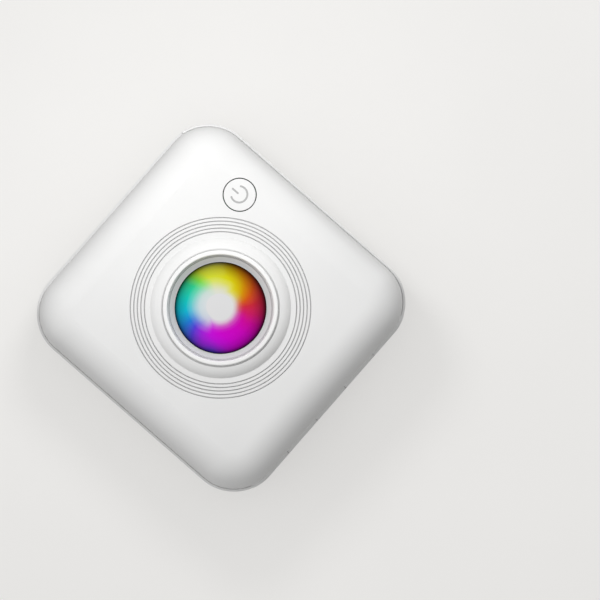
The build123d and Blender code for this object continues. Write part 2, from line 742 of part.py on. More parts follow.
with BuildPart() as lid_cover:
    rounded_block(lid_width, lid_length, lid_radius, lid_bottom, face_z - lid_bottom)
    fillet(lid_cover.faces().sort_by(Axis.Z)[-1].edges(), radius=lid_round)
    # Raised ring round the lens
    with BuildSketch(Plane.XZ) as ring_section:
        with BuildLine():
            turn = (boss_turn, face_z + boss_shoulder)
            swell = TangentArc((bezel_hole, face_z + boss_rise), turn, tangent=boss_slope)
            TangentArc(turn, (boss_outer, face_z), tangent=swell % 1)
            Polyline(
                (boss_outer, face_z),
                (boss_outer, face_z - lid_wall / 2),
                (lens_hole, face_z - lid_wall / 2),
                (lens_hole, face_z + boss_rise),
                (bezel_hole, face_z + boss_rise),
            )
        make_face()
    revolve(ring_section.sketch, axis=Axis.Z)
    add(lid_cavity.part, mode=Mode.SUBTRACT)
    # Engraved circles
    for radius in groove_radii:
        with BuildSketch(Plane.XZ) as groove:
            with BuildLine():
                Polyline(
                    (radius - groove_width / 2, face_z),
                    (radius, face_z - groove_depth),
                    (radius + groove_width / 2, face_z),
                    close=True,
                )
            make_face()
        revolve(groove.sketch, axis=Axis.Z, mode=Mode.SUBTRACT)
    # Lens seat and button hole
    post(0, 0, (bezel_seat, beyond), bezel_hole, mode=Mode.SUBTRACT)
    post(0, 0, (lid_ceiling - overshoot, beyond), lens_hole, mode=Mode.SUBTRACT)
    post(button_x, button_y, (lid_ceiling - overshoot, beyond), button_hole, mode=Mode.SUBTRACT)
    # Paper exit
    slab((-slot_half, slot_half), front_wall_y, (lid_bottom - overshoot, slot_roof), mode=Mode.SUBTRACT)
    # Hinge knuckles, with room beside them for the base's
    gaps = [-lid_relief_half] + [x for knuckle in lid_knuckles for x in knuckle] + [lid_relief_half]
    for low, high in zip(gaps[::2], gaps[1::2]):
        rod((low, high), hinge_y, hinge_z, channel_radius, mode=Mode.SUBTRACT)
    for knuckle in lid_knuckles:
        rod(knuckle, hinge_y, hinge_z, knuckle_radius)
        rod(knuckle, hinge_y, hinge_z, pin_radius + pin_clearance, mode=Mode.SUBTRACT)
finish_part(lid_cover, "lid_cover")

# Liner: a flange across the cover, vaulted over the paper roll and over the platen
vault_radius = 5.0
vault_wall = 1.2
vault_x = (-36.3, 33.6)
bracket_outer = 30.4
bracket_half, bracket_low, bracket_rise = 5.0, 27.0, 4.6
roller_room = 0.4
contact_boss = 0.5
contact_x, contact_rows = 35.8, (25.5, 27.5, 29.5)
contact_block_x, contact_block_y = (34.3, 37.2), (24.2, 30.8)

with BuildPart() as lid_liner:
    slab((-beyond, beyond), (-beyond, beyond), (flange_bottom, flange_top))
    rod((-bay_half - bay_wall, bay_half + bay_wall), roll_y, roll_z, bay_radius + bay_wall)
    rod((vault_x[0] - vault_wall, vault_x[1] + vault_wall), *platen_centre, vault_radius + vault_wall)
    slab((-beyond, beyond), (-beyond, beyond), (-beyond, flange_bottom), mode=Mode.SUBTRACT)
    bay_bore()
    bay_mouth(flange_bottom, flange_bottom + bay_bevel)
    rod(vault_x, *platen_centre, vault_radius, mode=Mode.SUBTRACT)
    # Brackets that hold the platen's bushes
    for side in (-1, 1):
        width = sorted((side * bush_inner, side * bracket_outer))
        length = (platen_y - bracket_half, platen_y + bracket_half)
        slab(width, length, (bracket_low, platen_z + bracket_rise))
    rod((-bracket_outer, bracket_outer), *platen_centre, bush_radius, mode=Mode.SUBTRACT)
    room_half = platen_half + roller_room
    rod((-room_half, room_half), *platen_centre, platen_radius + roller_room, mode=Mode.SUBTRACT)
    # Boss over the contact pins
    slab(contact_block_x, contact_block_y, (flange_bottom - contact_boss, flange_bottom))
    add(liner_space.part, mode=Mode.INTERSECT)
    for x, y in liner_bosses:
        post(x, y, (flange_bottom, flange_top), liner_screw_hole, mode=Mode.SUBTRACT)
finish_part(lid_liner, "lid_liner")

with BuildPart() as liner_screws:
    for x, y in liner_bosses:
        screw(x, y, flange_bottom, liner_screw_head, liner_screw_length, up=False)
finish_part(liner_screws, "liner_screws")

# Lens in its bezel
with BuildPart() as lens_bezel:
    with BuildSketch(Plane.XZ) as bezel_section:
        with BuildLine():
            Polyline(
                (bezel_outer, bezel_seat),
                (bezel_outer, bezel_top - bezel_bevel),
                (bezel_outer - bezel_bevel, bezel_top),
                (bezel_inner + bezel_bevel, bezel_top),
                (bezel_inner, bezel_top - bezel_bevel),
                (bezel_inner, well_top - bezel_notch),
                (bezel_inner - bezel_notch, well_top),
                (well_radius, well_z),
                (dome_radius + dome_clearance, well_z),
                (dome_radius + dome_clearance, bezel_seat),
                close=True,
            )
        make_face()
    revolve(bezel_section.sketch, axis=Axis.Z)
finish_part(lens_bezel, "lens_bezel")

# The lens is a shallow cap on a skirt, whose flange is held between the cover and its board
dome_edge = well_z + 0.2
skirt_top = lid_ceiling + 0.4
dome_rise = dome_top - dome_edge
dome_sphere = (dome_radius**2 + dome_rise**2) / (2 * dome_rise)
skirt_radius = dome_radius - dome_skirt_wall

with BuildPart() as lens_dome:
    post(0, 0, (lid_ceiling, dome_top + overshoot), dome_radius)
    with Locations((0, 0, dome_top - dome_sphere)):
        Sphere(dome_sphere, rotation=(0, 90, 0), mode=Mode.INTERSECT)
    post(0, 0, (top_board_top, lid_ceiling), dome_flange)
    post(0, 0, (top_board_top, skirt_top), skirt_radius, mode=Mode.SUBTRACT)
finish_part(lens_dome, "lens_dome")


# Cover's board, with the power switch
switch_half = 2.3
switch_height = 1.5
switch_floor = top_board_top + 0.25
switch_bore, plunger_radius = 1.2, 1.1
cap_ceiling = face_z - button_face

with BuildPart() as top_board:
    slab(top_board_x, top_board_y, (top_board_z, top_board_top))
    for x, y in board_bosses:
        post(x, y, (top_board_z, top_board_top), top_screw_hole, mode=Mode.SUBTRACT)
finish_part(top_board, "top_board")

with BuildPart() as top_board_screws:
    for x, y in board_bosses:
        screw(x, y, top_board_z, top_screw_head, top_board_thickness, up=False)
finish_part(top_board_screws, "top_board_screws")

with BuildPart() as switch_housing:
    switch_top = top_board_top + switch_height
    slab(
        (button_x - switch_half, button_x + switch_half),
        (button_y - switch_half, button_y + switch_half),
        (top_board_top, switch_top),
    )
    post(button_x, button_y, (switch_floor, switch_top), switch_bore, mode=Mode.SUBTRACT)
finish_part(switch_housing, "switch_housing")

with BuildPart() as switch_plunger:
    post(button_x, button_y, (switch_floor + button_travel + pin_clearance, cap_ceiling), plunger_radius)
finish_part(switch_plunger, "switch_plunger")

with BuildPart() as power_button:
    rounded_block(lid_width, lid_length, lid_radius, lid_bottom, face_z - lid_bottom)
    fillet(power_button.faces().sort_by(Axis.Z)[-1].edges(), radius=lid_round)
    with Locations((button_x, button_y, face_z)):
        Cylinder(button_radius, 2 * (face_z - top_board_top - button_foot), mode=Mode.INTERSECT)
    post(button_x, button_y, (top_board_top, cap_ceiling), button_bore, mode=Mode.SUBTRACT)
    # Two tabs under the cover keep the cap in
    for side in (-1, 1):
        tab = sorted((button_y + side * tab_inner, button_y + side * tab_outer))
        tab_height = (top_board_top + button_foot, lid_ceiling - tab_clearance)
        slab((button_x - tab_half, button_x + tab_half), tab, tab_height)
finish_part(power_button, "power_button")


# Spring contacts between the two halves
contact_height, contact_floor = 2.6, 0.6
contact_pin_radius, contact_pad_radius, contact_pad_height = 0.5, 0.8, 0.3
pad_bottom = flange_bottom - contact_boss - contact_pad_height

with BuildPart() as contact_block:
    slab(contact_block_x, contact_block_y, (deck_top, deck_top + contact_height))
    for y in contact_rows:
        well = (deck_top + contact_floor, deck_top + contact_height)
        post(contact_x, y, well, contact_pin_radius, mode=Mode.SUBTRACT)
finish_part(contact_block, "contact_block")

with BuildPart() as contact_pins:
    for y in contact_rows:
        post(contact_x, y, (deck_top + contact_floor, pad_bottom - pin_clearance), contact_pin_radius)
finish_part(contact_pins, "contact_pins")

with BuildPart() as contact_pads:
    for y in contact_rows:
        post(contact_x, y, (pad_bottom, pad_bottom + contact_pad_height), contact_pad_radius)
finish_part(contact_pads, "contact_pads")

print("reduction gear centre", [round(v, 3) for v in reduction_centre])
print("gear phases", [round(degrees(v), 3) for v in (idler_phase, small_phase, pinion_phase)])
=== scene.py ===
import json
from math import cos, pi, radians, sin

import bmesh
import bpy
from mathutils import Matrix, Vector


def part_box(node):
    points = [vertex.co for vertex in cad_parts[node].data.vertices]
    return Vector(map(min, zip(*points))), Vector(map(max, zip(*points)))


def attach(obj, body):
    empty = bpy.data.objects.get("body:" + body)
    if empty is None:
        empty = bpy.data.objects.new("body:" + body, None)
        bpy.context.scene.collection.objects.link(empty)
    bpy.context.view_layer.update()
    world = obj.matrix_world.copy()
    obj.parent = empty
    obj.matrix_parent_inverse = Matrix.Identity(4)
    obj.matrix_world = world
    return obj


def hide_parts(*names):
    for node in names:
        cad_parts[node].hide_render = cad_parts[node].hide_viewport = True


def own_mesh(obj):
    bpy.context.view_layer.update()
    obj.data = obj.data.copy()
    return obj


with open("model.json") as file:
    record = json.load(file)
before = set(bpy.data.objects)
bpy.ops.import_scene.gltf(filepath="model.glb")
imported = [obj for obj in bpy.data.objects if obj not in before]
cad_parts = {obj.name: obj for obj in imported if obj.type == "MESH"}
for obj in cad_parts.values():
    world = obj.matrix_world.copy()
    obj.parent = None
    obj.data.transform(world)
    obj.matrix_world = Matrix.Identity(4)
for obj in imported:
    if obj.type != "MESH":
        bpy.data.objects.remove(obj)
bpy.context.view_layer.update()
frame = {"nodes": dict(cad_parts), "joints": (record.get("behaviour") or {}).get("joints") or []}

nodes = frame["nodes"]
mm = 0.001

# Places that the frame gives
button_low, button_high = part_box("power_button")
sensor_low, sensor_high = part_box("paper_sensor")
ceramic_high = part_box("head_ceramic")[1]
platen_at = next(Vector(joint["pos_m"]) for joint in frame["joints"] if joint["name"] == "platen_spin")

# Camera: straight down, turned as the photograph shows the printer, and measured at the base's rim
photo_turn = radians(48.9)
photo_centre = Vector((16.5, -15.5, 0)) * mm
photo_field = 171.4 * mm
rim_z = 26 * mm
camera_distance = 2.0
camera_reach = 20
sensor_width = 36

# Lamps
key_direction = Vector((0.24, 0.33, 0.91)).normalized()
key_distance, key_size, key_power = 0.175, 0.05, 0.082
side_direction = Vector((0.96, 0.05, 0.26)).normalized()
side_distance, side_size, side_power = 0.4, 0.2, 0.33

# Sky: brightest along one direction, and dimmest where the cosine of the angle to it reaches the edge
sky_direction = Vector((-0.3, 0.38, 0.87)).normalized()
sky_low, sky_high = 0.11, 0.75
sky_edge = -0.35

# Floor and backdrop
backdrop = (0.847, 0.838, 0.822)
floor_pale = (0.42, 0.416, 0.408)
floor_dim = (0.36, 0.357, 0.35)
floor_glow = 0.59
floor_half = 3.0
floor_patches = 20

# Textures shared by the materials. Patches are counted per metre, and noise lies mostly from low to high
patches = 60
sheen_patches = 500
metal_patches = 300
noise_low, noise_high = 0.3, 0.7
metal_drift = 0.06
metal_edge = 0.08 * mm
line_depth = 0.002 * mm
line_stretch = 0.02


# Node trees and materials

class Graph:
    """Short ways to build a tree of shader nodes."""

    def __init__(self, tree):
        self.tree = tree

    def fill(self, socket, value):
        """Feeds an input from another node, or sets its value."""
        if isinstance(value, bpy.types.NodeSocket):
            self.tree.links.new(value, socket)
        else:
            socket.default_value = value

    def add(self, kind, **values):
        """A node. A value goes to the setting of that name, or else to the input of that name or number."""
        node = self.tree.nodes.new("ShaderNode" + kind)
        for name, value in values.items():
            if hasattr(node, name):
                setattr(node, name, value)
            elif name[1:].isdigit():
                self.fill(node.inputs[int(name[1:])], value)
            else:
                self.fill(node.inputs[name.replace("_", " ")], value)
        return node

    def maths(self, operation, a, b=0.0, *more):
        """One operation on a value or on two, and then on each further one."""
        result = self.add("Math", operation=operation, _0=a, _1=b).outputs[0]
        for value in more:
            result = self.add("Math", operation=operation, _0=result, _1=value).outputs[0]
        return result

    def wave(self, turn, count, phase):
        """A cosine with so many waves to a turn."""
        return self.maths("COSINE", self.maths("ADD", self.maths("MULTIPLY", turn, 2 * pi * count), phase))

    def span(self, value, start, end, low=0.0, high=1.0, shape="LINEAR"):
        """A value's way from start to end, as a number between low and high."""
        limits = {"From_Min": start, "From_Max": end, "To_Min": low, "To_Max": high}
        return self.add("MapRange", interpolation_type=shape, Value=value, **limits).outputs[0]

    def seen(self):
        """1 for what the camera sees directly, in a reflection or through glass, and 0 for other light."""
        rays = self.add("LightPath").outputs
        kinds = [rays[f"Is {kind} Ray"] for kind in ("Camera", "Glossy", "Transmission")]
        return self.maths("MAXIMUM", *kinds)


class Look(Graph):
    """A procedural material: one Principled shader, and short ways to feed it."""

    def __init__(self, title, **values):
        self.material = bpy.data.materials.new(title)
        self.material.use_nodes = True
        super().__init__(self.material.node_tree)
        self.shader = self.tree.nodes["Principled BSDF"]
        for name, value in values.items():
            self.fill(self.shader.inputs[name.replace("_", " ")], value)
        self.place = self.add("TexCoord").outputs["Object"]
        self.colour = None
        self.bump = None

    def feed(self, socket, output):
        self.tree.links.new(output, self.shader.inputs[socket])

    def paint(self, colour):
        """Sets the base colour, which another may go over."""
        self.colour = colour
        self.feed("Base Color", colour)

    def axis(self, name):
        """The place along an axis, in metres."""
        return self.add("SeparateXYZ", Vector=self.place).outputs[name]

    def toward(self, direction):
        """The place along a level direction, in metres."""
        return self.add("VectorMath", operation="DOT_PRODUCT", _0=self.place, _1=direction).outputs["Value"]

    def across(self, x=0.0, y=0.0):
        """Level distance from a point, in metres."""
        flat = self.add("Mapping", Vector=self.place, Scale=(1, 1, 0), Location=(-x, -y, 0)).outputs[0]
        return self.add("VectorMath", operation="LENGTH", _0=flat).outputs["Value"]

    def near(self, value, centre, half, soft):
        """1 where a value is within half of a centre, falling to 0 over a soft edge."""
        away = self.maths("ABSOLUTE", self.maths("SUBTRACT", value, centre))
        return self.span(away, half + soft, half, shape="SMOOTHSTEP")

    def ramp(self, factor, stops):
        """A colour from stops of position and colour."""
        node = self.add("ValToRGB", Fac=factor)
        ramp = node.color_ramp
        while len(ramp.elements) < len(stops):
            ramp.elements.new(0.5)
        for element, (position, colour) in zip(ramp.elements, stops):
            element.position = position
            element.color = (*colour, 1)
        return node.outputs["Color"]

    def greys(self, factor, *stops):
        """A grey from stops of position and brightness."""
        return self.ramp(factor, [(position, (grey, grey, grey)) for position, grey in stops])

    def mix(self, factor, a, b, blend="MIX"):
        """One colour over another."""
        a, b = ((*colour, 1) if isinstance(colour, tuple) else colour for colour in (a, b))
        return self.add("Mix", data_type="RGBA", blend_type=blend, _0=factor, _6=a, _7=b).outputs[2]

    def tint(self, a, b):
        """Two colours multiplied."""
        return self.mix(1.0, a, b, "MULTIPLY")

    def noise(self, scale, detail=3.0, stretch=(1, 1, 1)):
        vector = self.place
        if stretch != (1, 1, 1):
            vector = self.add("Mapping", Vector=self.place, Scale=stretch).outputs[0]
        return self.add("TexNoise", Vector=vector, Scale=scale, Detail=detail).outputs["Fac"]

    def vary(self, colour, amount, scale):
        """A colour that drifts a little from place to place."""
        darker = tuple(c * (1 - amount) for c in colour)
        lighter = tuple(min(1.0, c * (1 + amount)) for c in colour)
        return self.ramp(self.noise(scale), ((noise_low, darker), (noise_high, lighter)))

    def rough(self, middle, below, above, scale, stretch=(1, 1, 1)):
        """Roughness that drifts below and above a middle value."""
        spread = self.noise(scale, stretch=stretch)
        self.feed("Roughness", self.span(spread, noise_low, noise_high, middle - below, middle + above))

    def edges(self, radius):
        """Rounds every edge as light sees it."""
        self.bump = self.add("Bevel", samples=4, Radius=radius).outputs[0]
        self.feed("Normal", self.bump)

    def relief(self, height, depth):
        """Raises the surface by a height map, over what raises it already."""
        values = {"Height": height, "Distance": depth, "Strength": 1.0}
        if self.bump is not None:
            values["Normal"] = self.bump
        self.bump = self.add("Bump", **values).outputs[0]
        self.feed("Normal", self.bump)


def moulded(name, colour, roughness, grain, depth, edge=0.15 * mm, drift=0.015, **values):
    """A moulded plastic with a fine tool texture and softened edges."""
    look = Look(name, Roughness=roughness, **values)
    look.paint(look.vary(colour, drift, patches))
    look.rough(roughness, below=0.04, above=0.05, scale=sheen_patches)
    look.edges(edge)
    look.relief(look.noise(1 / grain, detail=2.0), depth)
    return look


def metal(name, colour, roughness, along, lines=9000):
    """A metal with drawn or brushed lines along one axis, so many of them to the metre."""
    stretch = tuple(line_stretch if axis == along else 1 for axis in "XYZ")
    look = Look(name, Metallic=1.0, Roughness=roughness)
    look.paint(look.vary(colour, metal_drift, metal_patches))
    look.rough(roughness, below=0.06, above=0.08, scale=lines / 4, stretch=stretch)
    look.edges(metal_edge)
    look.relief(look.noise(lines, stretch=stretch), line_depth)
    return look


def dress(look, *names):
    """Gives CAD nodes a material."""
    for name in names:
        mesh = nodes[name].data
        mesh.materials.clear()
        mesh.materials.append(look.material)


# White shells, with painted shade in the bottoms of the engraved circles. The button is flush with the top
# face
shell_white, groove_shade_grey = (0.86, 0.86, 0.855), (0.67, 0.67, 0.67)
shell_texture = {"grain": 0.16 * mm, "depth": 0.0015 * mm}
top_z = button_high.z
face_depth, engraving_depth = 0.6 * mm, 0.04 * mm
circles_middle, circles_reach = 23.6 * mm, 2.4 * mm
shell = moulded("shell_white", shell_white, 0.48, **shell_texture, Specular_IOR_Level=0.3)
above = shell.maths("GREATER_THAN", shell.axis("Z"), top_z - face_depth)
sunk = shell.maths("LESS_THAN", shell.axis("Z"), top_z - engraving_depth)
ringed = shell.near(shell.across(), circles_middle, half=circles_reach, soft=0.02 * mm)
# Painted shade: the bottoms of the engraved circles are painted grey, darker than the white around them
shaded_grooves = shell.maths("MULTIPLY", sunk, ringed, above)
shell.paint(shell.mix(shaded_grooves, shell.colour, groove_shade_grey))

# The raised ring catches the light as a rounder slope, steepest at its foot, and falls off beside the bezel
ring_inner, ring_foot, ring_bump = 16.5 * mm, 19.95 * mm, 0.62 * mm
brink_width, brink_bump = 0.35 * mm, 0.35 * mm
fall = shell.maths("POWER", shell.span(shell.across(), ring_inner, ring_foot), 3.0)
shell.relief(shell.maths("MULTIPLY", shell.maths("SUBTRACT", 1.0, fall), above), ring_bump)
brink = shell.span(shell.across(), ring_inner, ring_inner + brink_width, 1.0, 0.0)
shell.relief(shell.maths("MULTIPLY", brink, above), brink_bump)
dress(shell, "base_shell", "lid_cover", "power_button")

# The bezel is a little whiter than the shells, with a rounder inner edge to the light, and its cone is grey
bezel_white, cone_grey = (0.94, 0.94, 0.935), (0.66, 0.665, 0.67)
cone_middle, cone_reach = 12.9 * mm, 2.0 * mm
rounding_inner, rounding_outer, rounding_bump = 14.45 * mm, 15.1 * mm, 0.55 * mm
bezel = moulded("bezel_white", bezel_white, 0.36, grain=0.16 * mm, depth=0.001 * mm, edge=0.12 * mm)
bezel.relief(bezel.span(bezel.across(), rounding_inner, rounding_outer), rounding_bump)
cone = bezel.near(bezel.across(), cone_middle, half=cone_reach, soft=0.05 * mm)
bezel.paint(bezel.mix(cone, bezel.colour, cone_grey))
dress(bezel, "lens_bezel")


# Lens: a hue wheel under a faint gloss, milky in the middle, where the milk also serves as a painted
# highlight, and with painted shade darker at the rim and toward one side

# The wheel's colours by their place in turns
hue_wheel = (
    (0.00, (0.35, 0.022, 0.73)),
    (0.05, (0.57, 0.007, 0.73)),
    (0.13, (0.65, 0.002, 0.66)),
    (0.22, (0.65, 0.002, 0.55)),
    (0.28, (0.65, 0.003, 0.35)),
    (0.33, (0.65, 0.013, 0.14)),
    (0.375, (0.65, 0.026, 0.049)),
    (0.415, (0.69, 0.098, 0.011)),
    (0.46, (0.68, 0.26, 0.004)),
    (0.50, (0.68, 0.47, 0.005)),
    (0.56, (0.75, 0.70, 0.007)),
    (0.66, (0.69, 0.77, 0.015)),
    (0.71, (0.22, 0.75, 0.076)),
    (0.75, (0.038, 0.70, 0.32)),
    (0.82, (0.011, 0.65, 0.56)),
    (0.875, (0.009, 0.53, 0.71)),
    (0.925, (0.022, 0.21, 0.73)),
    (0.96, (0.098, 0.055, 0.72)),
    (1.00, (0.35, 0.022, 0.73)),
)
# Milky white of the middle, which also serves as a painted highlight
milk_and_highlight_white = (0.765, 0.765, 0.77)
lens_radius = 12.95 * mm

# The wheel's twist, in turns for each lens radius beyond the circle that stands still
still_radius = 0.62
even_twist = 0.09
slant_twist, slant_angle = 0.08, radians(36)
lobe_twist, lobe_angle = 0.166, radians(225)

# Where the outer wheel leans further round, in violet and in red: place, half width, soft edge and lean
leans = ((0.106, 0.01, 0.075, 0.19), (0.50, 0.05, 0.12, 0.11))

# The milky middle, which also serves as a painted highlight, is a crisp spot and a soft one, and the
# painted shade lies round a middle of its own
crisp_middle = (0.0, 0.35 * mm)
soft_middle = (-0.45 * mm, 1.35 * mm)
soft_direction, soft_reach = (-0.22, 0.98, 0), 1.5 * mm
ripple_scale, ripple_size = 170, 0.06
# Middle of the painted rim shade, set off to one side so that this side is painted lighter
painted_shade_middle = (-0.4 * mm, 0.06 * mm)
# Painted shade: the lens is painted darker toward the side that the lamps light most
painted_shade_direction, painted_shade_start, painted_shade_end = (0.5, 0.87, 0), -4 * mm, 9 * mm


def from_point(look, x, y):
    """Distance across the face from a point, in lens radii."""
    return look.maths("DIVIDE", look.across(x, y), lens_radius)


def twisted(look, turn, rim):
    """The wheel's place for each place on the face, twisted toward the rim and most on one slant."""
    beyond = look.maths("SUBTRACT", rim, still_radius)
    inside = look.maths("MINIMUM", beyond, 0.0)
    outside = look.maths("MAXIMUM", beyond, 0.0)
    slant = look.wave(turn, 2, -2 * slant_angle)
    whole = look.maths("ADD", look.maths("MULTIPLY", slant, slant_twist), even_twist)
    lobes = look.wave(turn, 3, lobe_angle)
    leaning = [look.maths("MULTIPLY", look.near(turn, *stretch), lean) for *stretch, lean in leans]
    twist = look.maths(
        "ADD",
        look.maths("MULTIPLY", beyond, whole),
        look.maths("MULTIPLY", inside, lobes, lobe_twist),
        look.maths("MULTIPLY", outside, look.maths("ADD", *leaning)),
    )
    return look.maths("FRACT", look.maths("SUBTRACT", turn, twist))


def milk_and_highlight(look):
    """How milky the middle is, the milky spot also serving as a painted highlight, with a crisp edge on one
    side and a soft one on the other.
    """
    ripple = look.maths("SUBTRACT", look.noise(ripple_scale, detail=2.0), 0.5)
    ripple = look.maths("MULTIPLY", ripple, ripple_size)
    crisp = look.greys(
        look.maths("ADD", from_point(look, *crisp_middle), ripple),
        (0.28, 1), (0.34, 0.70), (0.385, 0.34), (0.43, 0.12), (0.50, 0.02), (0.56, 0),
    )
    soft = look.greys(
        look.maths("ADD", from_point(look, *soft_middle), ripple),
        (0.14, 1), (0.24, 0.90), (0.33, 0.82), (0.37, 0.74),
        (0.41, 0.58), (0.46, 0.41), (0.53, 0.16), (0.64, 0),
    )
    soft_side = look.span(look.toward(soft_direction), -soft_reach, soft_reach, shape="SMOOTHSTEP")
    return look.maths("MAXIMUM", crisp, look.maths("MULTIPLY", soft, soft_side))


def painted_rim_shade(look, rim):
    """Painted shade: the darkening toward the rim, which ends in a thin dark edge."""
    shade = look.greys(
        from_point(look, *painted_shade_middle),
        (0.52, 1), (0.62, 0.99), (0.73, 0.90), (0.85, 0.66), (0.93, 0.41), (0.99, 0.20),
    )
    return look.tint(shade, look.greys(rim, (0.93, 1), (0.97, 0.62), (1.0, 0.12)))


lens = Look("lens_hue_wheel", Roughness=0.14, Specular_IOR_Level=0.025)
rim = from_point(lens, 0, 0)
turn = lens.add("TexGradient", gradient_type="RADIAL", Vector=lens.place).outputs["Fac"]
deep = lens.tint(lens.ramp(twisted(lens, turn, rim), hue_wheel), painted_rim_shade(lens, rim))
# Painted shade, darker toward the side that the lamps light most
painted_side_shade = lens.greys(lens.span(lens.toward(painted_shade_direction), painted_shade_start, painted_shade_end), (0, 1), (1, 0.90))
# The milky middle goes over the wheel, and also serves as a painted highlight
lens.paint(lens.tint(lens.mix(milk_and_highlight(lens), deep, milk_and_highlight_white), painted_side_shade))
lens.edges(radius=0.15 * mm)
lens.relief(lens.noise(250), depth=0.001 * mm)
dress(lens, "lens_dome")


# Dark mouldings inside
dress(moulded("tray_grey", (0.045, 0.046, 0.05), 0.55, grain=0.3 * mm, depth=0.012 * mm, drift=0.08),
      "inner_tray", "lid_liner")
dress(moulded("small_black", (0.02, 0.02, 0.022), 0.4, grain=0.2 * mm, depth=0.004 * mm, drift=0.1),
      "switch_housing", "switch_plunger", "contact_block", "board_parts")

# Paper sensor: two small windows in a black block
sensor_black, window_red = (0.02, 0.02, 0.022), (0.22, 0.02, 0.03)
sensor_middle = (sensor_low + sensor_high) / 2
window_aside, window_size = 1.0 * mm, {"half": 0.6 * mm, "soft": 0.04 * mm}
sensor = moulded("sensor_black", sensor_black, 0.35, grain=0.2 * mm, depth=0.003 * mm)
aside = sensor.maths("ABSOLUTE", sensor.maths("SUBTRACT", sensor.axis("X"), sensor_middle.x))
windows = sensor.maths(
    "MULTIPLY",
    sensor.near(aside, window_aside, **window_size),
    sensor.near(sensor.axis("Y"), sensor_middle.y, **window_size),
)
sensor.paint(sensor.mix(windows, sensor_black, window_red))
dress(sensor, "paper_sensor")

# Acetal gears and bushes
acetal = {"grain": 0.25 * mm, "depth": 0.003 * mm, "edge": 0.06 * mm, "drift": 0.03}
dress(moulded("gear_acetal", (0.74, 0.73, 0.67), 0.38, **acetal),
      "platen_gear", "idler_gear", "reduction_gear", "platen_bushes")

# Rubber, moulded on the feet and ground on the roller
dress(moulded("rubber_dark", (0.03, 0.03, 0.032), 0.75, grain=0.12 * mm, depth=0.01 * mm, drift=0.2),
      "rubber_feet")
roller = Look("roller_rubber", Roughness=0.7)
roller.paint(roller.vary((0.045, 0.045, 0.048), amount=0.15, scale=400))
roller.edges(radius=0.15 * mm)
roller.relief(roller.noise(5000, stretch=(3, 1, 1)), depth=0.01 * mm)
dress(roller, "platen_roller")

# Metals
dress(metal("steel_pins", (0.62, 0.61, 0.60), 0.28, "X"),
      "hinge_pin", "head_pivot_rod", "platen_shaft", "motor_shaft",
      "gear_studs", "gear_clips", "shaft_clip")
dress(metal("steel_screws", (0.50, 0.50, 0.51), 0.34, "Z", lines=5000),
      "tray_screws", "frame_screws", "liner_screws", "board_screws", "top_board_screws")
dress(metal("steel_frame", (0.56, 0.57, 0.58), 0.36, "Z", lines=3000),
      "print_frame", "head_spring", "usb_socket")
dress(metal("blade_steel", (0.66, 0.66, 0.66), 0.24, "Y", lines=7000), "tear_bar")
dress(metal("can_nickel", (0.60, 0.59, 0.57), 0.3, "X", lines=2000), "motor_can")
dress(metal("heat_sink_aluminium", (0.74, 0.75, 0.76), 0.4, "X", lines=4000), "head_heat_sink")
dress(metal("brass", (0.80, 0.58, 0.26), 0.28, "Z", lines=4000),
      "pinion_gear", "contact_pins", "contact_pads")

# Print head: glazed ceramic with a fine heater line under the roller and a black strip over the drivers
ceramic_cream, heater_brown, strip_black = (0.60, 0.54, 0.45), (0.10, 0.05, 0.02), (0.012, 0.012, 0.014)
strip_inset = 0.9 * mm
glaze = Look("head_glaze", Roughness=0.16, Coat_Weight=0.4)
heater = glaze.near(glaze.axis("Y"), platen_at.y, half=0.14 * mm, soft=0.05 * mm)
strip = glaze.near(glaze.axis("Y"), ceramic_high.y - strip_inset, half=0.7 * mm, soft=0.08 * mm)
glaze.paint(glaze.mix(heater, glaze.vary(ceramic_cream, amount=0.05, scale=200), heater_brown))
glaze.paint(glaze.mix(strip, glaze.colour, strip_black))
glaze.relief(strip, depth=0.15 * mm)
dress(glaze, "head_ceramic")

# Circuit boards: solder mask over copper tracks, which run in the joints of a brick pattern
black, white = (0, 0, 0, 1), (1, 1, 1, 1)
mask_green, track_green = (0.012, 0.10, 0.045), (0.03, 0.20, 0.09)
board = Look("solder_mask", Roughness=0.3, Coat_Weight=0.3)
pattern = {"Scale": 1.0, "Mortar_Size": 0.12 * mm, "Brick_Width": 3.1 * mm, "Row_Height": 0.9 * mm}
bricks = board.add("TexBrick", Vector=board.place, Color1=black, Color2=black, Mortar=white, **pattern)
tracks = bricks.outputs["Color"]
board.paint(board.mix(tracks, board.vary(mask_green, amount=0.2, scale=250), track_green))
board.relief(tracks, depth=0.03 * mm)
dress(board, "main_board", "top_board")

# Battery: wrinkled foil pouch
pouch = Look("battery_foil", Roughness=0.35, Metallic=0.7)
pouch.paint(pouch.vary((0.50, 0.52, 0.55), amount=0.08, scale=90))
pouch.relief(pouch.noise(260, detail=4.0), depth=0.2 * mm)
dress(pouch, "battery_pack")

# Charging tongue: gold contacts side by side. A band texture of scale 1 repeats every pi / 10 metres
contact_pitch = 1.0 * mm
gold_level = 0.55
tongue_black, contact_gold = (0.015, 0.015, 0.016), (0.75, 0.52, 0.20)
tongue = Look("tongue_contacts", Roughness=0.4)
bands = {"wave_type": "BANDS", "bands_direction": "X", "Scale": pi / 10 / contact_pitch}
stripes = tongue.add("TexWave", Vector=tongue.place, **bands).outputs["Fac"]
gold = tongue.maths("GREATER_THAN", stripes, gold_level)
tongue.paint(tongue.mix(gold, tongue_black, contact_gold))
tongue.relief(gold, depth=0.03 * mm)
dress(tongue, "usb_tongue")


# Objects that the scene adds

def show(name, data):
    """A new object in the scene."""
    thing = bpy.data.objects.new(name, data)
    bpy.context.scene.collection.objects.link(thing)
    return thing


def solid(name, mesh, look):
    """A new object from a finished bmesh, in one material."""
    data = bpy.data.meshes.new(name)
    mesh.to_mesh(data)
    mesh.free()
    data.materials.append(look.material)
    return show(name, data)


# Power symbol, printed on the button's face

cap_steps = 8


